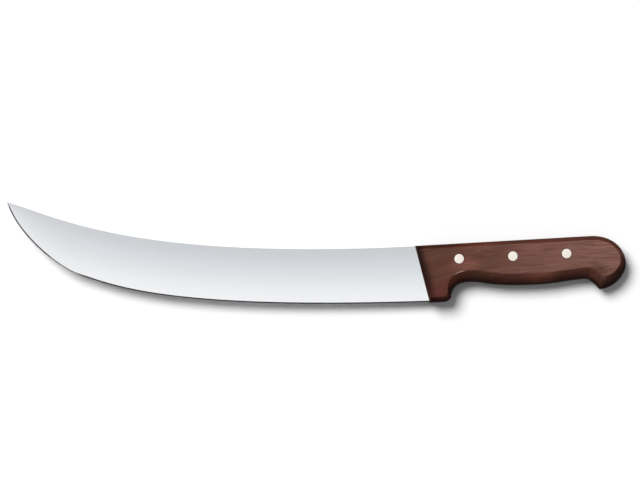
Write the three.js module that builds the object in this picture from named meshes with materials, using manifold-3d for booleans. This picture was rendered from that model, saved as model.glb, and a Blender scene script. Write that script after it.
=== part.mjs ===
// A curved butcher's knife, lying on its right side: a blade ground from one steel sheet with a full
// tang, two wooden scales, and three two-piece rivets that hold them together. Millimetres, +Z up.
// The outlines are drawn in the plane of the blade. There the middle rivet is at 0, 0, +X points to the
// butt and +Y to the back, and Z is 0 in the middle of the steel.
import * as THREE from "three";
import { mergeVertices } from "three/addons/utils/BufferGeometryUtils.js";
import Module from "manifold-3d";

// Steel sheet and blade
const STEEL_THICKNESS = 2.5; // the sheet, and so the tang
const BLADE_LENGTH = 310; // straight from the point to the middle of the handle's front
const BLADE_HEIGHT = 41.3; // spine to edge at the handle
const POINT_RISE = 47.1; // the point above the spine at the handle
const EDGE_TURN_REACH = 49.1; // behind the point, where the edge turns up to it
const EDGE_TURN_DROP = 55.5; // that turn below the point
const HEEL_THICKNESS = 2.3; // spine at the handle
const POINT_THICKNESS = 2.2; // spine near the point
const POINT_TAPER_HEIGHT = 40; // where the blade is lower than this, its spine thins towards the point
const BEVEL_HEIGHT = 0.9; // the cutting bevel
const BEVEL_THICKNESS = 0.5; // steel behind the cutting bevel
const TANG_SETBACK = 0.8; // the tang's full thickness starts this far inside the handle
const BLADE_ROOT = 3; // the ground blade runs this far into the handle, and joins the tang there

// Rivets
const RIVET_PITCH = 39.5;
const RIVET_HEAD_DIAMETER = 7.1;
const RIVET_HEAD_THICKNESS = 2;
const RIVET_SLEEVE_DIAMETER = 4.8;
const RIVET_PIN_DIAMETER = 3;
const RIVET_SINK = 0.05; // the heads lie this far under the wood's face
const RIVET_FIT = 0.1; // gap round a head, a sleeve and a pin
const RIVET_SEAT_GAP = 0.05; // under a head
const RIVET_END_GAP = 0.3; // past the end of a sleeve and of a pin

// Handle, seen from the side: reaches are along the rivet line, depths are below it
const HANDLE_THICKNESS = 20;
const GLUE_LINE = 0.1; // between the tang and a scale
const BACK_HEIGHT = 11; // the back above the rivet line, at the handle's front
const BACK_RISE = 1; // the back is this much higher at the butt
const SPINE_STEP = 0.3; // the back stands this much above the spine
const FRONT_REACH = 29.4; // the handle's front ahead of the first rivet
const FRONT_LEAN = 11.7; // degrees
const GUARD_DROP = 0.7; // the guard's underside lies this much below the blade's edge
const GUARD_BOTTOM_REACH = 12.7; // where the guard's rear corner starts, ahead of the first rivet
const GUARD_REAR_REACH = 7.1; // where that corner ends, ahead of the first rivet
const GUARD_REAR_RISE = 3.3; // where that corner ends, above the guard's underside
const GUARD_LEAN = 17.5; // degrees
const NECK_REACH = 5.3; // the thinnest place, behind the first rivet
const NECK_DEPTH = 17.5;
const SWELL_REACH = 16.9; // behind the middle rivet
const SWELL_DEPTH = 21.9;
const WAIST_REACH = 13.5; // behind the last rivet
const WAIST_DEPTH = 19.4;
const HOOK_REACH = 23; // the corner of the hook's tip, behind the last rivet
const HOOK_DEPTH = 27.7;
const HOOK_STEEPNESS = 53.7; // degrees, the front of the hook's tip
const HOOK_TILT = 5.5; // degrees, the underside of the hook's tip
const HOOK_ROUND = 1.7; // cut off each side of the tip's corner by its round
const BUTT_REACH = 43.6; // behind the last rivet
const BUTT_DEPTH = 9.5; // where the butt reaches furthest
const BUTT_ROUND = 25.2; // length of the round from the back to the butt

// The flat of a scale's face lies inside the outline by these insets, and a round joins the two
const FRONT_INSET = 2;
const BACK_FRONT_INSET = 2.4;
const BACK_INSET = 3.1;
const GUARD_INSET = 4.1;
const GUARD_REAR_INSET = 2.6;
const GUARD_REAR_LIFT = 3.2;
const GUARD_FACE_LEAN = 2; // degrees, in place of GUARD_LEAN
const NECK_INSET = 8.9;
const NECK_SHIFT = 3.2; // towards the butt
const SWELL_INSET = 8.8;
const WAIST_INSET = 8.8;
const WAIST_SHIFT = 4; // towards the butt
const HOOK_INSET = 9.7;
const HOOK_SHIFT = 1.8; // towards the butt
const HOOK_ROUND_GROWTH = 0.8; // the flat's corner at the hook has a larger round
const BUTT_INSET = 4.4;
const BUTT_LIFT = 3.7;
const ROUND_DEPTH = 8.2; // the deepest round, measured down from the face
const ROUND_RATIO = 1.25; // a round's depth for each millimetre of its inset
const ROUND_SWEEP = 48; // degrees the round turns through: it meets the face in a soft crease

// Shape of the curves: pulls are shares of the distance between a curve's two ends
const SPINE_PULLS = [0.7, 0.13];
const SPINE_POINT_ANGLE = 18.2; // degrees, the spine's climb at the point
const EDGE_PULLS = [0.76, 0.1]; // from the handle to the turn
const EDGE_TIP_PULLS = [0.15, 0.37]; // from the turn to the point
const EDGE_HEEL_ANGLE = 0.8; // degrees, the edge's climb at the handle
const EDGE_TURN_ANGLE = 19.9; // degrees, at the turn
const EDGE_POINT_ANGLE = 75.6; // degrees, at the point
const GUARD_PULLS = [0.41, 0.2];
const NOTCH_PULLS = [0.18, 0.65];
const NOTCH_FACE_PULLS = [0.3, 0.72]; // the same curve on the flat of the face
const GRIP_FRONT_PULLS = [0.27, 0.73];
const GRIP_REAR_PULLS = [0.4, 0.315];
const HOOK_PULLS = [0.18, 0.34];
const TIP_PULLS = [0.37, 0.37];
const BUTT_LOWER_PULLS = [0.42, 0.265];
const BUTT_UPPER_PULLS = [0.29, 0.53];
const GRIND_POWER = 2; // 1 grinds the blade's sides flat, more leaves them fuller

// Fineness of the surfaces
const BLADE_STATIONS = 60;
const STATION_CROWDING = 0.35; // how much closer the stations lie near the point
const GRIND_STEPS = 6;
const BEVEL_SHARE = 0.3; // the bevel is at most this share of the blade's height near the point
const ROUND_STEPS = 6;
const RIVET_SIDES = 32;
const OUTLINE_STEPS = [8, 3, 8, 14, 16, 12, 10, 4, 12, 16, 10]; // on each stretch of the handle's outline
const MERGE_DISTANCE = 1e-4;

// Headings along the outlines, in degrees
const TO_BUTT = 0;
const TO_BACK = 90;
const TO_POINT = 180;

const STEEL = new THREE.MeshStandardMaterial({ color: 0xd6d8db, roughness: 0.3, metalness: 1 });
const ROSEWOOD = new THREE.MeshStandardMaterial({ color: 0x73483f, roughness: 0.5, metalness: 0 });
const NICKEL_SILVER = new THREE.MeshStandardMaterial({ color: 0xe9e5d6, roughness: 0.25, metalness: 1 });

const { lerp, degToRad } = THREE.MathUtils;
const wasm = await Module();
wasm.setup();

const RIVETS = { front: -RIVET_PITCH, middle: 0, rear: RIVET_PITCH };
const HALF_HANDLE = HANDLE_THICKNESS / 2;
const SCALE_INNER = STEEL_THICKNESS / 2 + GLUE_LINE;
const HEAD_FACE = HALF_HANDLE - RIVET_SINK;
const HEAD_UNDERSIDE = HEAD_FACE - RIVET_HEAD_THICKNESS;
const HEAD_SEAT = HEAD_UNDERSIDE - RIVET_SEAT_GAP;
const SPINE_Y = BACK_HEIGHT - SPINE_STEP;
const EDGE_Y = SPINE_Y - BLADE_HEIGHT;
const GUARD_DEPTH = GUARD_DROP - EDGE_Y;
const GUARD_REAR_DEPTH = GUARD_DEPTH - GUARD_REAR_RISE;

// A mesh's geometry as a solid that can be joined and cut.
function toSolid(geometry) {
  const bare = new THREE.BufferGeometry();
  bare.setAttribute("position", geometry.getAttribute("position"));
  bare.setIndex(geometry.index);
  const merged = mergeVertices(bare, MERGE_DISTANCE);
  return new wasm.Manifold(
    new wasm.Mesh({
      numProp: 3,
      vertProperties: merged.getAttribute("position").array,
      triVerts: new Uint32Array(merged.index.array),
    }),
  );
}

function toGeometry(solid) {
  const mesh = solid.getMesh();
  const geometry = new THREE.BufferGeometry();
  geometry.setAttribute("position", new THREE.BufferAttribute(mesh.vertProperties, 3));
  geometry.setIndex(new THREE.BufferAttribute(mesh.triVerts, 1));
  geometry.computeVertexNormals();
  return geometry;
}

// A turned solid about the Z axis, from its radii and heights, upwards along its outside.
function turned(profile) {
  const points = profile.map(([radius, z]) => new THREE.Vector2(radius, z));
  return new THREE.LatheGeometry(points, RIVET_SIDES).rotateX(Math.PI / 2);
}

// The skin between rings of equal length, each a list of points. A ring of one point closes the skin.
function skin(rings) {
  const points = [];
  const faces = [];
  rings.forEach((ring, r) => {
    const start = points.length;
    points.push(...ring);
    if (r === 0) return;
    const below = start - rings[r - 1].length;
    const count = rings[r - 1].length;
    for (let i = 0; i < count; i++) {
      const next = (i + 1) % count;
      if (ring.length === 1) {
        faces.push([below + i, below + next, start]);
      } else {
        faces.push([below + i, below + next, start + next]);
        faces.push([below + i, start + next, start + i]);
      }
    }
  });
  return { points, faces };
}

function geometryOf({ points, faces }) {
  const geometry = new THREE.BufferGeometry().setFromPoints(points);
  geometry.setIndex(faces.flat());
  return geometry;
}

function heading(degrees) {
  return new THREE.Vector2(Math.cos(degToRad(degrees)), Math.sin(degToRad(degrees)));
}

// A smooth curve that leaves one point and arrives at another along the given headings, in degrees.
function sweep(from, leaving, to, arriving, [leavingPull, arrivingPull]) {
  const distance = from.distanceTo(to);
  const first = heading(leaving).multiplyScalar(leavingPull * distance).add(from);
  const second = heading(arriving).multiplyScalar(-arrivingPull * distance).add(to);
  return new THREE.CubicBezierCurve(from, first, second, to);
}

// Where the handle's front is, at a height above the rivet line.
function frontX(y) {
  return RIVETS.front - FRONT_REACH - y * Math.tan(degToRad(FRONT_LEAN));
}

// The handle's outline, anticlockwise from the top of its front. Share 0 is the silhouette and share 1 is
// the edge of the flat face.
function handleOutline(share, frontInset) {
  const guardDepth = GUARD_DEPTH - GUARD_INSET * share;
  const backFront = BACK_HEIGHT - BACK_FRONT_INSET * share;
  const backRear = BACK_HEIGHT + BACK_RISE - BACK_INSET * share;
  const buttX = RIVETS.rear + BUTT_REACH;
  const frontTop = new THREE.Vector2(frontX(backFront) + frontInset, backFront);
  const frontBottom = new THREE.Vector2(frontX(-guardDepth) + frontInset, -guardDepth);
  const guardBottom = new THREE.Vector2(RIVETS.front - GUARD_BOTTOM_REACH, -guardDepth);
  const guardRear = new THREE.Vector2(
    RIVETS.front - GUARD_REAR_REACH - GUARD_REAR_INSET * share,
    -GUARD_REAR_DEPTH + GUARD_REAR_LIFT * share,
  );
  const neck = new THREE.Vector2(
    RIVETS.front + NECK_REACH + NECK_SHIFT * share,
    -NECK_DEPTH + NECK_INSET * share,
  );
  const swell = new THREE.Vector2(RIVETS.middle + SWELL_REACH, -SWELL_DEPTH + SWELL_INSET * share);
  const waist = new THREE.Vector2(
    RIVETS.rear + WAIST_REACH + WAIST_SHIFT * share,
    -WAIST_DEPTH + WAIST_INSET * share,
  );
  const hook = new THREE.Vector2(
    RIVETS.rear + HOOK_REACH + HOOK_SHIFT * share,
    -HOOK_DEPTH + HOOK_INSET * share,
  );
  const tipRound = HOOK_ROUND + HOOK_ROUND_GROWTH * share;
  const hookFront = hook.clone().addScaledVector(heading(-HOOK_STEEPNESS), -tipRound);
  const hookUnderside = hook.clone().addScaledVector(heading(HOOK_TILT), tipRound);
  const butt = new THREE.Vector2(buttX - BUTT_INSET * share, -BUTT_DEPTH + BUTT_LIFT * share);
  const backEnd = new THREE.Vector2(buttX - BUTT_ROUND, backRear);
  const upGuard = TO_BACK - lerp(GUARD_LEAN, GUARD_FACE_LEAN, share);
  const notchPulls = NOTCH_PULLS.map((pull, i) => lerp(pull, NOTCH_FACE_PULLS[i], share));
  const stretches = [
    new THREE.LineCurve(frontTop, frontBottom),
    new THREE.LineCurve(frontBottom, guardBottom),
    sweep(guardBottom, TO_BUTT, guardRear, upGuard, GUARD_PULLS),
    sweep(guardRear, upGuard, neck, TO_BUTT, notchPulls),
    sweep(neck, TO_BUTT, swell, TO_BUTT, GRIP_FRONT_PULLS),
    sweep(swell, TO_BUTT, waist, TO_BUTT, GRIP_REAR_PULLS),
    sweep(waist, TO_BUTT, hookFront, -HOOK_STEEPNESS, HOOK_PULLS),
    sweep(hookFront, -HOOK_STEEPNESS, hookUnderside, HOOK_TILT, TIP_PULLS),
    sweep(hookUnderside, HOOK_TILT, butt, TO_BACK, BUTT_LOWER_PULLS),
    sweep(butt, TO_BACK, backEnd, TO_POINT, BUTT_UPPER_PULLS),
    new THREE.LineCurve(backEnd, frontTop),
  ];
  return stretches.flatMap((curve, i) => curve.getPoints(OUTLINE_STEPS[i]).slice(0, -1));
}

// What a rivet needs cut out of a scale: a seat for its head and a hole for its sleeve.
function rivetCutter() {
  const head = RIVET_HEAD_DIAMETER / 2 + RIVET_FIT;
  const sleeve = RIVET_SLEEVE_DIAMETER / 2 + RIVET_FIT;
  return turned([
    [0, -HANDLE_THICKNESS],
    [sleeve, -HANDLE_THICKNESS],
    [sleeve, HEAD_SEAT],
    [head, HEAD_SEAT],
    [head, HANDLE_THICKNESS],
    [0, HANDLE_THICKNESS],
  ]);
}

function withRivetHoles(solid) {
  const cutter = toSolid(rivetCutter());
  return Object.values(RIVETS).reduce((left, x) => left.subtract(cutter.translate([x, 0, 0])), solid);
}

function spineCurve(point) {
  const heel = new THREE.Vector2(frontX(SPINE_Y), SPINE_Y);
  const path = new THREE.CurvePath();
  path.add(new THREE.LineCurve(new THREE.Vector2(heel.x + BLADE_ROOT, SPINE_Y), heel));
  path.add(sweep(heel, TO_POINT, point, TO_POINT - SPINE_POINT_ANGLE, SPINE_PULLS));
  return path;
}

function edgeCurve(point) {
  const heel = new THREE.Vector2(frontX(EDGE_Y), EDGE_Y);
  const turn = new THREE.Vector2(point.x + EDGE_TURN_REACH, point.y - EDGE_TURN_DROP);
  const upTurn = TO_POINT - EDGE_TURN_ANGLE;
  const path = new THREE.CurvePath();
  path.add(new THREE.LineCurve(new THREE.Vector2(heel.x + BLADE_ROOT, EDGE_Y), heel));
  path.add(sweep(heel, TO_POINT - EDGE_HEEL_ANGLE, turn, upTurn, EDGE_PULLS));
  path.add(sweep(turn, upTurn, point, TO_POINT - EDGE_POINT_ANGLE, EDGE_TIP_PULLS));
  return path;
}

// One section of the blade: down one side from the spine, round the edge and up the other side.
function bladeSection(spine, edge, inward, fullThickness) {
  const height = spine.distanceTo(edge);
  const bevel = Math.min(BEVEL_HEIGHT, BEVEL_SHARE * height);
  const bevelThickness = (BEVEL_THICKNESS * bevel) / BEVEL_HEIGHT;
  const taper = Math.min(1, height / POINT_TAPER_HEIGHT);
  const spineThickness = lerp(BEVEL_THICKNESS, fullThickness, taper);
  const shoulder = edge.clone().addScaledVector(inward, bevel);
  const side = [];
  for (let step = 0; step <= GRIND_STEPS; step++) {
    const down = step / GRIND_STEPS;
    const at = spine.clone().lerp(shoulder, down);
    const thickness = lerp(spineThickness, bevelThickness, down ** GRIND_POWER);
    side.push(new THREE.Vector3(at.x, at.y, -thickness / 2));
  }
  const otherSide = side.map((p) => new THREE.Vector3(p.x, p.y, -p.z)).reverse();
  return [...side, new THREE.Vector3(edge.x, edge.y, 0), ...otherSide];
}

// The ground blade, from inside the handle to the point.
function groundBlade() {
  const heelMiddle = (SPINE_Y + EDGE_Y) / 2;
  const pointY = SPINE_Y + POINT_RISE;
  const run = Math.sqrt(BLADE_LENGTH ** 2 - (pointY - heelMiddle) ** 2);
  const point = new THREE.Vector2(frontX(heelMiddle) - run, pointY);
  const spine = spineCurve(point);
  const edge = edgeCurve(point);
  const rings = [];
  for (let station = 0; station < BLADE_STATIONS; station++) {
    const even = station / BLADE_STATIONS;
    const along = even * (1 + STATION_CROWDING * (1 - even));
    const tangent = edge.getTangentAt(along);
    const inward = new THREE.Vector2(tangent.y, -tangent.x);
    const thickness = lerp(HEEL_THICKNESS, POINT_THICKNESS, along);
    rings.push(bladeSection(spine.getPointAt(along), edge.getPointAt(along), inward, thickness));
  }
  const sides = rings[0].length;
  rings.push([new THREE.Vector3(point.x, point.y, 0)]);
  const blade = skin(rings);
  for (let i = 1; i + 1 < sides; i++) blade.faces.push([0, i + 1, i]);
  return geometryOf(blade);
}

function blade() {
  const outline = new THREE.Shape(handleOutline(0, TANG_SETBACK));
  const tang = new THREE.ExtrudeGeometry(outline, { depth: STEEL_THICKNESS, bevelEnabled: false });
  tang.translate(0, 0, -STEEL_THICKNESS / 2);
  return toGeometry(withRivetHoles(toSolid(tang).add(toSolid(groundBlade()))));
}

// The scale on the left side, which is up: a flat inner face on the tang, a short wall, a round and then
// a flat outer face.
function scale() {
  const silhouette = handleOutline(0, 0);
  const face = handleOutline(1, FRONT_INSET);
  const depths = silhouette.map((p, i) => Math.min(ROUND_DEPTH, ROUND_RATIO * p.distanceTo(face[i])));
  const rings = [silhouette.map((p) => new THREE.Vector3(p.x, p.y, SCALE_INNER))];
  const turn = degToRad(ROUND_SWEEP);
  for (let step = 0; step <= ROUND_STEPS; step++) {
    const angle = (turn * step) / ROUND_STEPS;
    const share = (1 - Math.cos(angle)) / (1 - Math.cos(turn));
    const rise = Math.sin(angle) / Math.sin(turn);
    const outline = handleOutline(share, FRONT_INSET * share);
    rings.push(outline.map((p, i) => new THREE.Vector3(p.x, p.y, HALF_HANDLE - depths[i] * (1 - rise))));
  }
  const wood = skin(rings);
  const last = wood.points.length - face.length;
  const innerFace = THREE.ShapeUtils.triangulateShape(silhouette, []);
  const outerFace = THREE.ShapeUtils.triangulateShape(face, []);
  wood.faces.push(...innerFace.map(([a, b, c]) => [a, c, b]));
  wood.faces.push(...outerFace.map(([a, b, c]) => [last + a, last + b, last + c]));
  return toGeometry(withRivetHoles(toSolid(geometryOf(wood))));
}

// The solid half of a rivet: its head on the left side and a pin that fills the sleeve.
function rivetPin() {
  const pin = RIVET_PIN_DIAMETER / 2;
  const head = RIVET_HEAD_DIAMETER / 2;
  const end = -HEAD_UNDERSIDE + RIVET_END_GAP;
  return turned([
    [0, end],
    [pin, end],
    [pin, HEAD_UNDERSIDE],
    [head, HEAD_UNDERSIDE],
    [head, HEAD_FACE],
    [0, HEAD_FACE],
  ]);
}

// The tubular half: its head on the right side and a sleeve that runs up to the other head.
function rivetSleeve() {
  const bore = RIVET_PIN_DIAMETER / 2 + RIVET_FIT;
  const sleeve = RIVET_SLEEVE_DIAMETER / 2;
  const head = RIVET_HEAD_DIAMETER / 2;
  const end = HEAD_UNDERSIDE - RIVET_END_GAP;
  return turned([
    [0, -HEAD_FACE],
    [head, -HEAD_FACE],
    [head, -HEAD_UNDERSIDE],
    [sleeve, -HEAD_UNDERSIDE],
    [sleeve, end],
    [bore, end],
    [bore, -HEAD_UNDERSIDE],
    [0, -HEAD_UNDERSIDE],
  ]);
}

function piece(name, geometry, material) {
  const mesh = new THREE.Mesh(geometry, material);
  mesh.name = name;
  return mesh;
}

const assembly = new THREE.Group();
const wood = scale();
const rightScale = piece("right_scale", wood, ROSEWOOD);
rightScale.scale.z = -1;
assembly.add(piece("blade", blade(), STEEL), piece("left_scale", wood, ROSEWOOD), rightScale);
for (const [name, x] of Object.entries(RIVETS)) {
  const pin = piece(`${name}_rivet_pin`, rivetPin(), NICKEL_SILVER);
  const sleeve = piece(`${name}_rivet_sleeve`, rivetSleeve(), NICKEL_SILVER);
  pin.position.x = x;
  sleeve.position.x = x;
  assembly.add(pin, sleeve);
}

// The knife's own origin is under the middle of its box, on the surface that it lies on.
const box = new THREE.Box3().setFromObject(assembly);
const middle = box.getCenter(new THREE.Vector3());
assembly.position.set(-middle.x, -middle.y, -box.min.z);
const knife = new THREE.Group();
knife.add(assembly);

export default knife;
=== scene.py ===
"""The looks of a curved butcher's knife: satin steel, oiled rosewood and nickel silver rivets, on white."""

import math

import bmesh
import bpy
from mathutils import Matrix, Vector


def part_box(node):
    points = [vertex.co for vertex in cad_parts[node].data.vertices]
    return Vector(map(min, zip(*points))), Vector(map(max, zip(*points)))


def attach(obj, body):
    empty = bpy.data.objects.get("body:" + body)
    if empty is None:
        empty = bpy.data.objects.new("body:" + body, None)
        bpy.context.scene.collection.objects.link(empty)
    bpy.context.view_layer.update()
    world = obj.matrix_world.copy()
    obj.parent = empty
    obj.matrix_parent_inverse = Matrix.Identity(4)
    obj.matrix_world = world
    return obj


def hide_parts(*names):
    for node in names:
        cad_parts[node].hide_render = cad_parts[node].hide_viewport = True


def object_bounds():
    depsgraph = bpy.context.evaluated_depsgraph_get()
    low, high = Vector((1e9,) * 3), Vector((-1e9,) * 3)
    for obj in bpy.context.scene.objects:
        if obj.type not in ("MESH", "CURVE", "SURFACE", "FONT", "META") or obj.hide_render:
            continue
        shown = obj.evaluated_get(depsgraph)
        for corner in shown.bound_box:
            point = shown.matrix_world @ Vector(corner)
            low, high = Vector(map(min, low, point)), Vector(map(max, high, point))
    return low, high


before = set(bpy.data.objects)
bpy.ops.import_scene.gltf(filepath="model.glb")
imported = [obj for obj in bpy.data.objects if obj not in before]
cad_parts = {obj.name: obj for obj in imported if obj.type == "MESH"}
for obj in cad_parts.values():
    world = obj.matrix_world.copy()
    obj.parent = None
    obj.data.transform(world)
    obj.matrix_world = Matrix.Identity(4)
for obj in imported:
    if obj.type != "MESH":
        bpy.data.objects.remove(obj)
cad_low, cad_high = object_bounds()

MM = 0.001

# The photograph's frame, and where the knife lies in it
PHOTO_WIDTH = 640
PHOTO_HEIGHT = 491
MIDDLE_RIVET_PIXEL = (512.4, 256.1)
PIXEL = 0.7356 * MM
RIVET_LINE_TILT = math.radians(2.81)
CAMERA_LENS = 300.0
CAMERA_SENSOR = 36.0
CAMERA_REACH = 100.0

# Key lamp: how far its light leans to the right and to the front for each metre it falls, how wide it
# looks, and its level beside that of the white light from all round
KEY_LEAN_RIGHT = 0.40
KEY_LEAN_FRONT = 0.50
KEY_SIZE = math.radians(30)
KEY_LEVEL = 0.82
AMBIENT_LEVEL = 0.2
WHITE = (1.0, 1.0, 1.0, 1.0)

# What shines in the steel, by its lean from straight up towards the back: a panel overhead that is graded
# from grey behind to white in front and pales to the left, with walls behind and in front. On the panel a
# lean to the right counts as a share of a lean to the back, so that its bands slant
PANEL_START = math.radians(3.0)
PANEL_END = math.radians(-5.7)
PANEL_COLOURS = ((0.0, (0.42, 0.42, 0.42)), (0.6, (0.74, 0.765, 0.795)), (1.0, (1.0, 1.0, 1.0)))
PANEL_SLANT = 0.15
PANEL_LEFT_START = math.radians(-2.4)
PANEL_LEFT_END = math.radians(-4.8)
PANEL_LEFT = (0.79, 0.80, 0.82, 1.0)
PANEL_LEFT_SHARE = 0.5
BACK_WALL_START = math.radians(15)
BACK_WALL_END = math.radians(60)
BACK_WALL = (0.85, 0.85, 0.85, 1.0)
FRONT_WALL_START = math.radians(-45)
FRONT_WALL_END = math.radians(-65)
FRONT_WALL = (0.68, 0.69, 0.70, 1.0)

# Noise runs about its middle, mostly in this range
NOISE_MIDDLE = 0.5
NOISE_RANGE = (0.3, 0.7)

# Steel: the scales of its noise for each millimetre, its roughness and its colours. A facing is 1 where
# the surface lies level, and the narrow sides are where it is less than on the ground faces
GRIND_SCALE = (6.0, 0.12, 0.5)
GRIND_ROUGHNESS = (0.08, 0.12)
GRIND_BUMP = 0.03
GRIND_DEPTH = 0.02 * MM
CLOUD_SCALE = (0.03, 0.05, 0.05)
SATIN_DULL = (0.91, 0.915, 0.925, 1.0)
SATIN_PALE = (0.93, 0.935, 0.945, 1.0)
NARROW_FACING = (0.99, 0.975)
NARROW_STEEL = (0.40, 0.40, 0.41, 1.0)
NARROW_ROUGHER = 0.15

# The cutting bevel, painted dark as a dark reflection but for a paler stretch where it mirrors light, whose
# middle is in millimetres along and across from the blade's point. The bevel adds its first roughness in
# the stretch and its second one elsewhere
BEVEL_FACING = (0.80, 0.93)
BEVEL_DARK_REFLECTION = (0.02, 0.02, 0.021, 1.0)
BEVEL_PALE_REFLECTION = (0.22, 0.22, 0.222, 1.0)
BEVEL_ROUGHER = (0.08, -0.13)
PALE_STRETCH = (39.5, -50.2)
PALE_STRETCH_REACH = (9.0, 18.0)

# The floor's size in metres, how far it falls for each metre from the butt towards the point, and its grey
# for the light that it throws back and for what the camera sees
FLOOR_SIZE = 60.0
FLOOR_FALL = 0.010
FLOOR_SHADE = 0.3
FLOOR_SEEN = 1.0

# Grain of the wood, in millimetres: how its lines bow and tilt along the handle and wander across it
GRAIN_BOW = 0.00075
GRAIN_TILT = -0.075
WANDER_SCALE = (0.03, 0.06, 0.06)
WANDER_WIDTH = 7.0

# Tones of the wood: the scales of its noise for each millimetre, how much each noise gives to the tone,
# where the contrast rises along the handle, and patches of browner wood
BROAD_SCALE = (0.014, 0.11, 0.11)
BROAD_SHARE = 0.35
STREAK_SCALE = (0.045, 0.65, 0.65)
STREAK_SHARE = 0.40
FIBRE_SCALE = (0.13, 2.2, 2.2)
FIBRE_SHARE = 0.25
CONTRAST_RISE = (40.0, 64.0)
CONTRAST = (1.2, 1.7)
WOOD_TONES = (
    (0.34, (0.121, 0.049, 0.037)),
    (0.50, (0.173, 0.076, 0.060)),
    (0.66, (0.226, 0.107, 0.088)),
)
BROWNER_SCALE = (0.055, 0.16, 0.16)
BROWNER_RANGE = (0.35, 0.65)
BROWNER_TINT = (0.95, 1.0, 0.97, 1.0)

# Pores and sheen of the wood
PORE_SCALE = (0.12, 3.2, 3.2)
PORE_RANGE = (0.6, 0.72)
PORE_SHARE = 0.35
PORE_COLOUR = (0.045, 0.018, 0.014, 1.0)
PORE_BUMP = 0.25
PORE_DEPTH = 0.06 * MM
PORE_ROUGHER = 0.2
WOOD_ROUGHNESS = 0.46
WOOD_SHINE = (0.08, 0.02)

# Places on the wood and their tints, in millimetres along and across from the middle rivet and up from the
# underside. FRONT_DARK and END_GRAIN lie behind the leaning front, and the pale rim round the butt is set
# by along plus across
FRONT_FADE = (38.0, -48.0)
FRONT_TINT = (0.58, 0.48, 0.415, 1.0)
FRONT_REACH = 68.9
FRONT_LEAN = math.tan(math.radians(11.7))
FRONT_DARK = (2.0, 7.4)
OILED_TINT = (0.22, 0.18, 0.17, 1.0)
GUARD_FADE = (-28.0, -12.0)
GUARD_OILED = 0.75
END_GRAIN = (3.0, 4.0)
RING_WIDTH = 0.8
RING_TINT = (0.55, 0.55, 0.55, 1.0)
# Painted highlights on the crease in the notch and on the ridge at the hook, a paler crease round the butt,
# and the colour of all three
NOTCH_GLINT = (-39.6, -10.8, 20.0)
NOTCH_GLINT_REACH = (5.0, 2.2)
HOOK_GLINT = (66.5, -19.0, 18.5)
HOOK_GLINT_REACH = (1.8, 0.4)
HOOK_GLINT_SHARE = 0.15
BUTT_PALE_RIM = (54.0, 65.0)
BUTT_PALE_RIM_SHARE = 0.5
GLINT_AND_RIM_WOOD = (0.50, 0.33, 0.29, 1.0)

# Which way the wood's surface looks: its normal's part along each axis, 1 upwards on a level face
FACE_FACING = (0.93, 0.98)
SHINE_FACING = (0.97, 0.8)
CREASE_TOP = (0.999, 0.99)
CREASE_BOTTOM = (0.93, 0.955)
END_GRAIN_NORMAL = (-0.15, -0.5)
BACK_NORMAL = (-0.05, 0.25)

# Darker and paler patches in the wood, on its face and on its rounds: middle, half widths and tint
FACE_PATCHES = {
    "red guard": ((-58.0, -31.0), (60.0, 20.0), (1.06, 0.73, 0.88)),
    "dark front": ((-64.0, -12.0), (9.0, 14.0), (0.76, 0.76, 0.76)),
    "pale notch": ((-36.0, -4.5), (16.0, 7.5), (1.50, 1.50, 1.50)),
    "pale front of the back": ((-27.0, 9.5), (16.0, 7.0), (1.26, 1.24, 1.28)),
    "pale middle of the back": ((11.0, 7.0), (19.0, 8.0), (1.20, 1.18, 1.22)),
    "shade above the hook": ((61.0, -13.5), (10.0, 8.0), (0.70, 0.68, 0.68)),
    "pale butt": ((68.0, 7.5), (17.0, 8.0), (1.32, 1.30, 1.34)),
}
ROUND_PATCHES = {
    "pale guard": ((-46.0, -24.0), (9.0, 14.0), (1.60, 1.55, 1.55)),
    "dark neck": ((-24.0, -14.0), (18.0, 14.0), (0.80, 0.98, 0.90)),
    "pale swell": ((20.0, -17.0), (15.0, 12.0), (1.28, 1.22, 1.18)),
    "dark waist": ((40.0, -19.0), (17.0, 10.0), (0.70, 0.67, 0.67)),
    # painted shade, on the hook's rounds that face away from the lamp
    "painted shade on the hook": ((74.0, -23.0), (18.0, 15.0), (0.40, 0.44, 0.44)),
    "pale back": ((-24.0, 11.0), (25.0, 6.0), (1.40, 1.40, 1.20)),
    "pale butt": ((83.0, -3.0), (12.0, 12.0), (1.35, 1.40, 1.40)),
}
PATCH_CORE = 0.3

# Tints of the wood's rounds, which took more oil than its face, from 0 where the surface lies level
# to 1 where it stands upright. Away from the back the tints are also painted shade, darkest near the
# upright walls
ROUND_OIL_AND_SHADE_TINTS = (
    (0.02, (1.0, 1.0, 1.0)),
    (0.10, (0.53, 0.42, 0.38)),
    (0.22, (0.36, 0.275, 0.27)),
    (0.31, (0.24, 0.185, 0.175)),
    (0.40, (0.10, 0.08, 0.075)),
    (0.60, (0.05, 0.04, 0.037)),
    (0.95, (0.34, 0.25, 0.235)),
)
BACK_TINTS = (
    (0.02, (1.0, 1.0, 1.0)),
    (0.07, (0.58, 0.43, 0.40)),
    (0.30, (0.54, 0.40, 0.37)),
    (0.60, (0.42, 0.30, 0.28)),
)

# Mesh finish
WELD = 0.002 * MM
QUAD_ANGLE = math.radians(40)
HARD_ANGLE = math.radians(40)
SCALE_SOFT_ANGLE = math.radians(14)
SCALE_SOFT_CREASE = 0.75
FACE_RIM = 0.5 * MM
BLADE_HARD_ANGLE = math.radians(8)
FLAT = 0.999999
SUBDIVISIONS = 2

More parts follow.
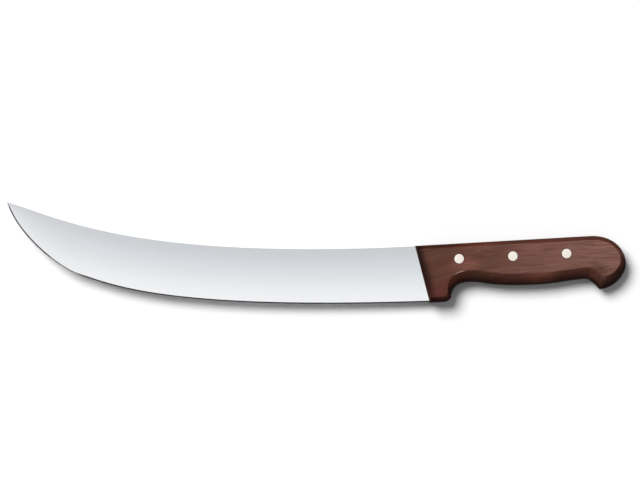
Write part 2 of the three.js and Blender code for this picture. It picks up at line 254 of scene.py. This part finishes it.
# Rivets, and the scuffs and colours of their metal
HEAD_THICKNESS = 2.0 * MM
SLEEVE_RADIUS = 2.4 * MM
SLEEVE_BORE = 1.6 * MM
PIN_RADIUS = 1.5 * MM
RIVET_STEPS = 64
DOME_STEPS = 6
DOME_HEIGHT = 0.04 * MM
RIM_ROUND = 0.15 * MM
SCUFF_SCALE = (1.2, 5.0, 1.2)
NICKEL_DULL = (0.680, 0.625, 0.555, 1.0)
NICKEL_PALE = (0.726, 0.675, 0.613, 1.0)
NICKEL_METALLIC = 0.4
NICKEL_ROUGHNESS = (0.42, 0.55)


class Graph:
    """A shader's node tree. A node's inputs are values, or other nodes' outputs to link."""

    def __init__(self, tree):
        self.tree = tree
        tree.nodes.clear()

    def add(self, kind, inputs=None, **settings):
        node = self.tree.nodes.new(kind)
        for name, value in settings.items():
            setattr(node, name, value)
        for name, value in (inputs or {}).items():
            if isinstance(value, bpy.types.NodeSocket):
                self.tree.links.new(value, node.inputs[name])
            else:
                node.inputs[name].default_value = value
        return node

    def math(self, operation, first, second=0.0, third=0.0):
        return self.add("ShaderNodeMath", {0: first, 1: second, 2: third}, operation=operation).outputs[0]

    def distance(self, place, other):
        return self.add("ShaderNodeVectorMath", {0: place, 1: other}, operation="DISTANCE").outputs["Value"]

    def scaled(self, vector, scale):
        return self.add("ShaderNodeVectorMath", {0: vector, 1: scale}, operation="MULTIPLY").outputs[0]

    def split(self, vector):
        return self.add("ShaderNodeSeparateXYZ", {0: vector}).outputs

    def noise(self, vector, detail=2.0, roughness=0.5):
        inputs = {"Vector": vector, "Scale": 1.0, "Detail": detail, "Roughness": roughness}
        return self.add("ShaderNodeTexNoise", inputs).outputs["Fac"]

    def remap(self, value, low, high, to_low=0.0, to_high=1.0, curve="SMOOTHSTEP"):
        inputs = {"Value": value, "From Min": low, "From Max": high, "To Min": to_low, "To Max": to_high}
        return self.add("ShaderNodeMapRange", inputs, interpolation_type=curve).outputs[0]

    def ramp(self, value, stops):
        node = self.add("ShaderNodeValToRGB", {"Fac": value})
        elements = node.color_ramp.elements
        for place, _ in stops[2:]:
            elements.new(place)
        for element, (place, colour) in zip(elements, stops):
            element.position = place
            element.color = (*colour, 1.0)
        return node.outputs["Color"]

    def mix(self, factor, first, second, blend="MIX"):
        inputs = {0: factor, 6: first, 7: second}
        return self.add("ShaderNodeMix", inputs, data_type="RGBA", blend_type=blend).outputs[2]

    def tinted(self, factor, colour, tint):
        """The colour, multiplied by a tint where the factor says so."""
        return self.mix(factor, colour, tint, "MULTIPLY")

    def principled(self, inputs):
        shader = self.add("ShaderNodeBsdfPrincipled", inputs)
        self.add("ShaderNodeOutputMaterial", {"Surface": shader.outputs[0]})


def new_graph(name):
    material = bpy.data.materials.new(name)
    material.use_nodes = True
    return material, Graph(material.node_tree)


def millimetres(graph):
    """The place on the object in millimetres."""
    return graph.scaled(graph.add("ShaderNodeTexCoord").outputs["Object"], (1 / MM, 1 / MM, 1 / MM))


def surface_normal(graph):
    return graph.split(graph.add("ShaderNodeNewGeometry").outputs["Normal"])


def outside_pale_stretch(graph, place):
    """0 in the middle of the bevel's pale stretch, rising to 1 away from it."""
    middle = (cad_low.x / MM + PALE_STRETCH[0], cad_high.y / MM + PALE_STRETCH[1], 0.0)
    away = graph.distance(graph.scaled(place, (1.0, 1.0, 0.0)), middle)
    return graph.remap(away, *PALE_STRETCH_REACH)


def steel_material():
    """Satin steel, ground in fine lines from back to edge, darker on its narrow sides and its bevel."""
    material, graph = new_graph("ground_steel")
    place = millimetres(graph)
    lines = graph.noise(graph.scaled(place, GRIND_SCALE), detail=3.0)
    cloud = graph.noise(graph.scaled(place, CLOUD_SCALE), detail=2.0)
    facing = graph.math("ABSOLUTE", surface_normal(graph)["Z"])
    narrow = graph.remap(facing, *NARROW_FACING)
    bevel = graph.math("MULTIPLY", narrow, graph.remap(facing, *BEVEL_FACING))
    dark = outside_pale_stretch(graph, place)
    colour = graph.mix(narrow, graph.mix(cloud, SATIN_DULL, SATIN_PALE), NARROW_STEEL)
    # the bevel's colour is a painted dark reflection, paler in one stretch as a painted reflection of light
    colour = graph.mix(bevel, colour, graph.mix(dark, BEVEL_PALE_REFLECTION, BEVEL_DARK_REFLECTION))
    rough = graph.remap(lines, *NOISE_RANGE, *GRIND_ROUGHNESS)
    rough = graph.math("ADD", rough, graph.math("MULTIPLY", narrow, NARROW_ROUGHER))
    bevel_rougher = graph.remap(dark, 0.0, 1.0, *BEVEL_ROUGHER, "LINEAR")
    rough = graph.math("MULTIPLY_ADD", bevel, bevel_rougher, rough)
    bump = graph.add("ShaderNodeBump", {"Height": lines, "Strength": GRIND_BUMP, "Distance": GRIND_DEPTH})
    graph.principled({"Base Color": colour, "Metallic": 1.0, "Roughness": rough, "Normal": bump.outputs[0]})
    return material


def handle_place(graph):
    """The place on the handle in millimetres from the middle rivet, and up from the underside."""
    low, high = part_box("middle_rivet_pin")
    middle = (low + high) / (2 * MM)
    offset = (-middle.x, -middle.y, 0.0)
    return graph.add("ShaderNodeVectorMath", {0: millimetres(graph), 1: offset}, operation="ADD").outputs[0]


def wood_grain(graph, place):
    """The place in the wood, with the grain bowed as in a board cut across a gentle bend."""
    along, across, deep = graph.split(place)
    slope = graph.math("ADD", graph.math("MULTIPLY", along, GRAIN_BOW), GRAIN_TILT)
    bow = graph.math("MULTIPLY", along, slope)
    wander = graph.noise(graph.scaled(place, WANDER_SCALE), detail=1.0)
    wave = graph.math("MULTIPLY", graph.math("SUBTRACT", wander, NOISE_MIDDLE), WANDER_WIDTH)
    bent = graph.math("ADD", graph.math("ADD", across, bow), wave)
    return graph.add("ShaderNodeCombineXYZ", {0: along, 1: bent, 2: deep}).outputs[0]


def rivet_ring(graph, place):
    """1 at the edge of a rivet's seat, falling to 0 a little way into the wood."""
    low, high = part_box("middle_rivet_pin")
    radius = (high.x - low.x) / (2 * MM)
    pitch = (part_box("rear_rivet_pin")[0].x - low.x) / MM
    along, across, _ = graph.split(place)
    nearest = None
    for rivet in (-pitch, 0.0, pitch):
        beside = graph.math("SUBTRACT", along, rivet)
        squares = graph.math("MULTIPLY_ADD", beside, beside, graph.math("MULTIPLY", across, across))
        away = graph.math("SQRT", squares)
        nearest = away if nearest is None else graph.math("MINIMUM", nearest, away)
    return graph.remap(nearest, radius + RING_WIDTH, radius)


def wood_colour(graph, place, grain, pore_mask):
    """Streaks, fibres and pores, in patches of redder and browner wood, darker to the front."""
    along, _, _ = graph.split(place)
    broad = graph.noise(graph.scaled(grain, BROAD_SCALE), detail=2.0)
    streaks = graph.noise(graph.scaled(grain, STREAK_SCALE), detail=3.0, roughness=0.6)
    fibres = graph.noise(graph.scaled(grain, FIBRE_SCALE), detail=2.0)
    browner = graph.noise(graph.scaled(grain, BROWNER_SCALE), detail=1.0)
    tone = graph.math("MULTIPLY", broad, BROAD_SHARE)
    tone = graph.math("ADD", tone, graph.math("MULTIPLY", streaks, STREAK_SHARE))
    tone = graph.math("ADD", tone, graph.math("MULTIPLY", fibres, FIBRE_SHARE))
    contrast = graph.remap(along, *CONTRAST_RISE, *CONTRAST)
    tone = graph.math("MULTIPLY_ADD", graph.math("SUBTRACT", tone, NOISE_MIDDLE), contrast, NOISE_MIDDLE)
    colour = graph.ramp(tone, WOOD_TONES)
    colour = graph.tinted(graph.remap(browner, *BROWNER_RANGE), colour, BROWNER_TINT)
    colour = graph.mix(graph.math("MULTIPLY", pore_mask, PORE_SHARE), colour, PORE_COLOUR)
    return graph.tinted(graph.remap(along, *FRONT_FADE), colour, FRONT_TINT)


def patched(graph, place, colour, patches, amount):
    """The colour with soft oval patches of other tints, as far as the amount says."""
    for (along, across), (length, width), tint in patches.values():
        shrunk = graph.scaled(place, (1 / length, 1 / width, 0.0))
        away = graph.distance(shrunk, (along / length, across / width, 0.0))
        near = graph.math("MULTIPLY", graph.remap(away, 1.0, PATCH_CORE), amount)
        colour = graph.tinted(near, colour, (*tint, 1.0))
    return colour


def behind_front(graph, place):
    """How far a place lies behind the handle's leaning front, in millimetres."""
    along, across, _ = graph.split(place)
    return graph.math("ADD", graph.math("MULTIPLY_ADD", across, FRONT_LEAN, along), FRONT_REACH)


def oiled_front(graph, place, colour):
    """The colour, darker in the wood just behind the front, which drank more oil."""
    _, across, _ = graph.split(place)
    oiled = graph.remap(behind_front(graph, place), FRONT_DARK[1], FRONT_DARK[0])
    oiled = graph.math("MULTIPLY", oiled, graph.remap(across, *GUARD_FADE, GUARD_OILED, 1.0))
    return graph.tinted(oiled, colour, OILED_TINT)


def oiled_and_shaded_rounds(graph, place, normal, facing, colour):
    """The colour, darker on the rounds from oil and painted shade, and along the back, not on end grain."""
    at_front = graph.remap(behind_front(graph, place), END_GRAIN[1], END_GRAIN[0])
    end_grain = graph.math("MULTIPLY", at_front, graph.remap(normal["X"], *END_GRAIN_NORMAL))
    steepness = graph.math("SUBTRACT", 1.0, facing)
    back = graph.remap(normal["Y"], *BACK_NORMAL)
    tint = graph.mix(back, graph.ramp(steepness, ROUND_OIL_AND_SHADE_TINTS), graph.ramp(steepness, BACK_TINTS))
    return graph.tinted(graph.math("SUBTRACT", 1.0, end_grain), colour, tint)


def glints_and_pale_rim(graph, place, facing, colour):
    """The colour, with painted highlights on the notch's crease and at the hook, and paler round the butt.
    """
    along, across, _ = graph.split(place)
    crease = graph.math("MULTIPLY", graph.remap(facing, *CREASE_TOP), graph.remap(facing, *CREASE_BOTTOM))
    notch = graph.remap(graph.distance(place, NOTCH_GLINT), *NOTCH_GLINT_REACH)
    butt = graph.remap(graph.math("ADD", along, across), *BUTT_PALE_RIM, 0.0, BUTT_PALE_RIM_SHARE)
    glint_and_rim = graph.math("MULTIPLY", crease, graph.math("MAXIMUM", notch, butt))
    hook = graph.remap(graph.distance(place, HOOK_GLINT), *HOOK_GLINT_REACH, 0.0, HOOK_GLINT_SHARE)
    return graph.mix(graph.math("MAXIMUM", glint_and_rim, hook), colour, GLINT_AND_RIM_WOOD)


def wood_material():
    """Rosewood: bowed grain; dark behind its front and on its rounds, partly painted shade; painted glints.
    """
    material, graph = new_graph("oiled_rosewood")
    place = handle_place(graph)
    grain = wood_grain(graph, place)
    pores = graph.noise(graph.scaled(grain, PORE_SCALE), detail=1.0)
    pore_mask = graph.remap(pores, *PORE_RANGE)
    normal = surface_normal(graph)
    facing = graph.math("ABSOLUTE", normal["Z"])
    on_face = graph.remap(facing, *FACE_FACING)
    colour = wood_colour(graph, place, grain, pore_mask)
    colour = graph.tinted(rivet_ring(graph, place), colour, RING_TINT)
    colour = patched(graph, place, colour, FACE_PATCHES, on_face)
    colour = patched(graph, place, colour, ROUND_PATCHES, graph.math("SUBTRACT", 1.0, on_face))
    colour = oiled_front(graph, place, colour)
    colour = oiled_and_shaded_rounds(graph, place, normal, facing, colour)
    colour = glints_and_pale_rim(graph, place, facing, colour)
    rough = graph.math("MULTIPLY_ADD", pore_mask, PORE_ROUGHER, WOOD_ROUGHNESS)
    shine = graph.remap(facing, *SHINE_FACING, *WOOD_SHINE)
    bump = graph.add("ShaderNodeBump", {"Height": pores, "Strength": PORE_BUMP, "Distance": -PORE_DEPTH})
    graph.principled(
        {
            "Base Color": colour,
            "Roughness": rough,
            "Specular IOR Level": shine,
            "Normal": bump.outputs[0],
        }
    )
    return material


def rivet_material():
    """Pale nickel silver, scuffed and a little dull."""
    material, graph = new_graph("nickel_silver")
    scuffs = graph.noise(graph.scaled(millimetres(graph), SCUFF_SCALE), detail=4.0)
    colour = graph.mix(scuffs, NICKEL_DULL, NICKEL_PALE)
    rough = graph.remap(scuffs, *NOISE_RANGE, *NICKEL_ROUGHNESS)
    graph.principled({"Base Color": colour, "Metallic": NICKEL_METALLIC, "Roughness": rough})
    return material


def seen_rays(graph):
    """1 for what the camera sees, straight or in a shiny or clear surface."""
    path = graph.add("ShaderNodeLightPath").outputs
    shown = graph.math("MAXIMUM", path["Is Camera Ray"], path["Is Glossy Ray"])
    return graph.math("MAXIMUM", shown, path["Is Transmission Ray"])


def floor_material():
    material, graph = new_graph("white_paper")
    dim = (FLOOR_SHADE, FLOOR_SHADE, FLOOR_SHADE, 1.0)
    bright = (FLOOR_SEEN, FLOOR_SEEN, FLOOR_SEEN, 1.0)
    diffuse = graph.add("ShaderNodeBsdfDiffuse", {"Color": graph.mix(seen_rays(graph), dim, bright)})
    graph.add("ShaderNodeOutputMaterial", {"Surface": diffuse.outputs[0]})
    return material


def make_object(name, bm):
    mesh = bpy.data.meshes.new(name)
    bm.to_mesh(mesh)
    bm.free()
    made = bpy.data.objects.new(name, mesh)
    bpy.context.scene.collection.objects.link(made)
    return made


def place_piece(piece, node, material):
    """Puts a finished piece in the place of a CAD node."""
    piece.data.materials.append(material)
    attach(piece, "root")
    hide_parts(node)


def is_level(face):
    return abs(face.normal.z) > FLAT


def node_quads(node):
    """A CAD node's mesh as one skin, with the triangles of its curved sides joined to quads."""
    bm = bmesh.new()
    bm.from_mesh(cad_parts[node].data)
    bmesh.ops.remove_doubles(bm, verts=bm.verts, dist=WELD)
    bmesh.ops.join_triangles(
        bm,
        faces=[face for face in bm.faces if not is_level(face)],
        angle_face_threshold=QUAD_ANGLE,
        angle_shape_threshold=QUAD_ANGLE,
    )
    return bm


def level_faces(bm):
    return [face for face in bm.faces if is_level(face)]


def crease_edges(bm, hard_angle, soft_angle, soft_crease, held):
    """Holds edges past the hard angle and those of the held faces, and partly those past the soft one."""
    crease = bm.edges.layers.float.new("crease_edge")
    for edge in bm.edges:
        turn = edge.calc_face_angle()
        edge.smooth = turn < hard_angle
        if turn > hard_angle:
            edge[crease] = 1.0
        elif turn > soft_angle:
            edge[crease] = soft_crease
    for face in held:
        for edge in face.edges:
            edge[crease] = 1.0


def subdivided(name, bm):
    for face in bm.faces:
        face.smooth = True
    piece = make_object(name, bm)
    finer = piece.modifiers.new("finer", "SUBSURF")
    finer.levels = SUBDIVISIONS
    finer.render_levels = SUBDIVISIONS
    return piece


def ground_blade():
    bm = node_quads("blade")
    crease_edges(bm, BLADE_HARD_ANGLE, BLADE_HARD_ANGLE, 0.0, level_faces(bm))
    return subdivided("ground_blade", bm)


def rim_inward(bm, outward):
    """Grows a narrow level rim inwards from every open edge, and gives the edges of the hole that stays."""
    following = {}
    for edge in bm.edges:
        if edge.is_boundary:
            loop = edge.link_loops[0]
            following[loop.link_loop_next.vert] = loop.vert
    leading = {after: before for before, after in following.items()}
    up = Vector((0.0, 0.0, outward))
    inner = {}
    for vert, after in following.items():
        one = up.cross(vert.co - leading[vert].co).normalized()
        other = up.cross(after.co - vert.co).normalized()
        middle = (one + other).normalized()
        inner[vert] = bm.verts.new(vert.co + middle * (FACE_RIM / middle.dot(one)))
    for vert, after in following.items():
        bm.faces.new((vert, after, inner[after], inner[vert]))
    return [bm.edges.get((inner[vert], inner[after])) for vert, after in following.items()]


def handle_scale(node, name, outward):
    """A handle scale. A narrow rim inside its face's edges keeps the face flat as the crease is eased."""
    bm = node_quads(node)
    low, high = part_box(node)
    face_height = high.z if outward > 0 else low.z
    face = [flat for flat in level_faces(bm) if abs(flat.calc_center_median().z - face_height) < WELD]
    bmesh.ops.delete(bm, geom=face, context="FACES")
    hole = rim_inward(bm, outward)
    inner_side = level_faces(bm)
    filled = bmesh.ops.triangle_fill(bm, edges=hole, use_beauty=True, normal=(0.0, 0.0, outward))
    held = [part for part in filled["geom"] if isinstance(part, bmesh.types.BMFace)]
    held += [flat for flat in inner_side if abs(flat.calc_center_median().z - face_height) > WELD]
    bm.normal_update()
    crease_edges(bm, HARD_ANGLE, SCALE_SOFT_ANGLE, SCALE_SOFT_CREASE, held)
    return subdivided(name, bm)


def turned(name, profile, centre):
    """A solid turned about an upright axis, from (radius, height) pairs that start and end on the axis."""
    bm = bmesh.new()
    rings = []
    for radius, height in profile:
        steps = RIVET_STEPS if radius > 0 else 1
        ring = []
        for step in range(steps):
            angle = 2 * math.pi * step / steps
            across = Vector((math.cos(angle), math.sin(angle), 0.0)) * radius
            ring.append(bm.verts.new(Vector((centre.x, centre.y, height)) + across))
        rings.append(ring)
    for one, other in zip(rings, rings[1:]):
        for step in range(RIVET_STEPS):
            after = (step + 1) % RIVET_STEPS
            corners = [one[step % len(one)], one[after % len(one)]]
            corners += [other[after % len(other)], other[step % len(other)]]
            bm.faces.new(dict.fromkeys(corners))
    bmesh.ops.recalc_face_normals(bm, faces=bm.faces)
    for face in bm.faces:
        face.smooth = True
    for edge in bm.edges:
        edge.smooth = edge.calc_face_angle() < HARD_ANGLE
    return make_object(name, bm)


def rivet_half(node, name, outward, shank_radius, bore_radius):
    """Half a rivet: a domed head, and behind it a pin, or a sleeve if it has a bore."""
    low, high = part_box(node)
    centre = (low + high) / 2
    head_radius = (high.x - low.x) / 2
    top, end = (high.z, low.z) if outward > 0 else (low.z, high.z)
    seat = top - outward * HEAD_THICKNESS
    dome_radius = head_radius - RIM_ROUND
    profile = []
    for step in range(DOME_STEPS + 1):
        share = step / DOME_STEPS
        profile.append((dome_radius * share, top - outward * DOME_HEIGHT * share**2))
    profile.append((head_radius, top - outward * (DOME_HEIGHT + RIM_ROUND)))
    profile.append((head_radius, seat))
    profile.append((shank_radius, seat))
    profile.append((shank_radius, end))
    if bore_radius:
        profile.append((bore_radius, end))
        profile.append((bore_radius, seat))
        profile.append((0.0, seat))
    else:
        profile.append((0.0, end))
    return turned(name, profile, centre)


def camera_target():
    """The point on the knife's own plane that the photograph's middle looks at."""
    low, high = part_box("middle_rivet_pin")
    rivet = (low + high) / 2
    right = Vector((math.cos(RIVET_LINE_TILT), -math.sin(RIVET_LINE_TILT), 0.0))
    up = Vector((math.sin(RIVET_LINE_TILT), math.cos(RIVET_LINE_TILT), 0.0))
    across = (PHOTO_WIDTH / 2 - MIDDLE_RIVET_PIXEL[0]) * PIXEL
    upwards = (MIDDLE_RIVET_PIXEL[1] - PHOTO_HEIGHT / 2) * PIXEL
    target = rivet + right * across + up * upwards
    target.z = (cad_low.z + cad_high.z) / 2
    return target


def add_camera():
    data = bpy.data.cameras.new("camera")
    data.lens = CAMERA_LENS
    data.sensor_width = CAMERA_SENSOR
    data.clip_end = CAMERA_REACH
    camera = bpy.data.objects.new("camera", data)
    distance = PHOTO_WIDTH * PIXEL * CAMERA_LENS / CAMERA_SENSOR
    camera.location = camera_target() + Vector((0.0, 0.0, distance))
    camera.rotation_euler = (0.0, 0.0, -RIVET_LINE_TILT)
    bpy.context.scene.collection.objects.link(camera)
    bpy.context.scene.camera = camera


def add_key_light():
    falling = Vector((KEY_LEAN_RIGHT, -KEY_LEAN_FRONT, -1.0)).normalized()
    data = bpy.data.lights.new("key", "SUN")
    data.energy = KEY_LEVEL * math.pi / -falling.z
    data.angle = KEY_SIZE
    key = bpy.data.objects.new("key", data)
    key.rotation_mode = "QUATERNION"
    key.rotation_quaternion = falling.to_track_quat("-Z", "Y")
    bpy.context.scene.collection.objects.link(key)


def add_studio():
    world = bpy.data.worlds.new("studio")
    bpy.context.scene.world = world
    world.use_nodes = True
    graph = Graph(world.node_tree)
    direction = graph.split(graph.add("ShaderNodeTexCoord").outputs["Generated"])
    lean = graph.math("ARCTAN2", direction["Y"], direction["Z"])
    aside = graph.math("ARCTAN2", direction["X"], direction["Z"])
    panel_lean = graph.math("MULTIPLY_ADD", aside, PANEL_SLANT, lean)
    panel = graph.ramp(graph.remap(panel_lean, PANEL_START, PANEL_END, curve="LINEAR"), PANEL_COLOURS)
    left = graph.remap(aside, PANEL_LEFT_START, PANEL_LEFT_END, 0.0, PANEL_LEFT_SHARE, "LINEAR")
    panel = graph.mix(left, panel, PANEL_LEFT, "LIGHTEN")
    walls = graph.mix(graph.remap(lean, BACK_WALL_START, BACK_WALL_END), panel, BACK_WALL)
    walls = graph.mix(graph.remap(lean, FRONT_WALL_START, FRONT_WALL_END), walls, FRONT_WALL)
    backdrop = graph.add("ShaderNodeBackground", {"Color": walls})
    ambient = graph.add("ShaderNodeBackground", {"Color": WHITE, "Strength": AMBIENT_LEVEL})
    inputs = {0: seen_rays(graph), 1: ambient.outputs[0], 2: backdrop.outputs[0]}
    graph.add("ShaderNodeOutputWorld", {"Surface": graph.add("ShaderNodeMixShader", inputs).outputs[0]})


def add_floor():
    bm = bmesh.new()
    bmesh.ops.create_grid(bm, x_segments=1, y_segments=1, size=FLOOR_SIZE / 2)
    floor = make_object("floor", bm)
    floor.rotation_euler = (0.0, -math.atan(FLOOR_FALL), 0.0)
    floor.location.z = -FLOOR_FALL * cad_high.x
    floor.data.materials.append(floor_material())


def add_knife():
    wood = wood_material()
    nickel_silver = rivet_material()
    place_piece(ground_blade(), "blade", steel_material())
    place_piece(handle_scale("left_scale", "left_handle_scale", 1), "left_scale", wood)
    place_piece(handle_scale("right_scale", "right_handle_scale", -1), "right_scale", wood)
    for place in ("front", "middle", "rear"):
        pin, sleeve = f"{place}_rivet_pin", f"{place}_rivet_sleeve"
        place_piece(rivet_half(pin, pin + "_turned", 1, PIN_RADIUS, 0.0), pin, nickel_silver)
        half = rivet_half(sleeve, sleeve + "_turned", -1, SLEEVE_RADIUS, SLEEVE_BORE)
        place_piece(half, sleeve, nickel_silver)


add_camera()
add_knife()
add_key_light()
add_studio()
add_floor()
bpy.context.scene.view_settings.view_transform = "Standard"
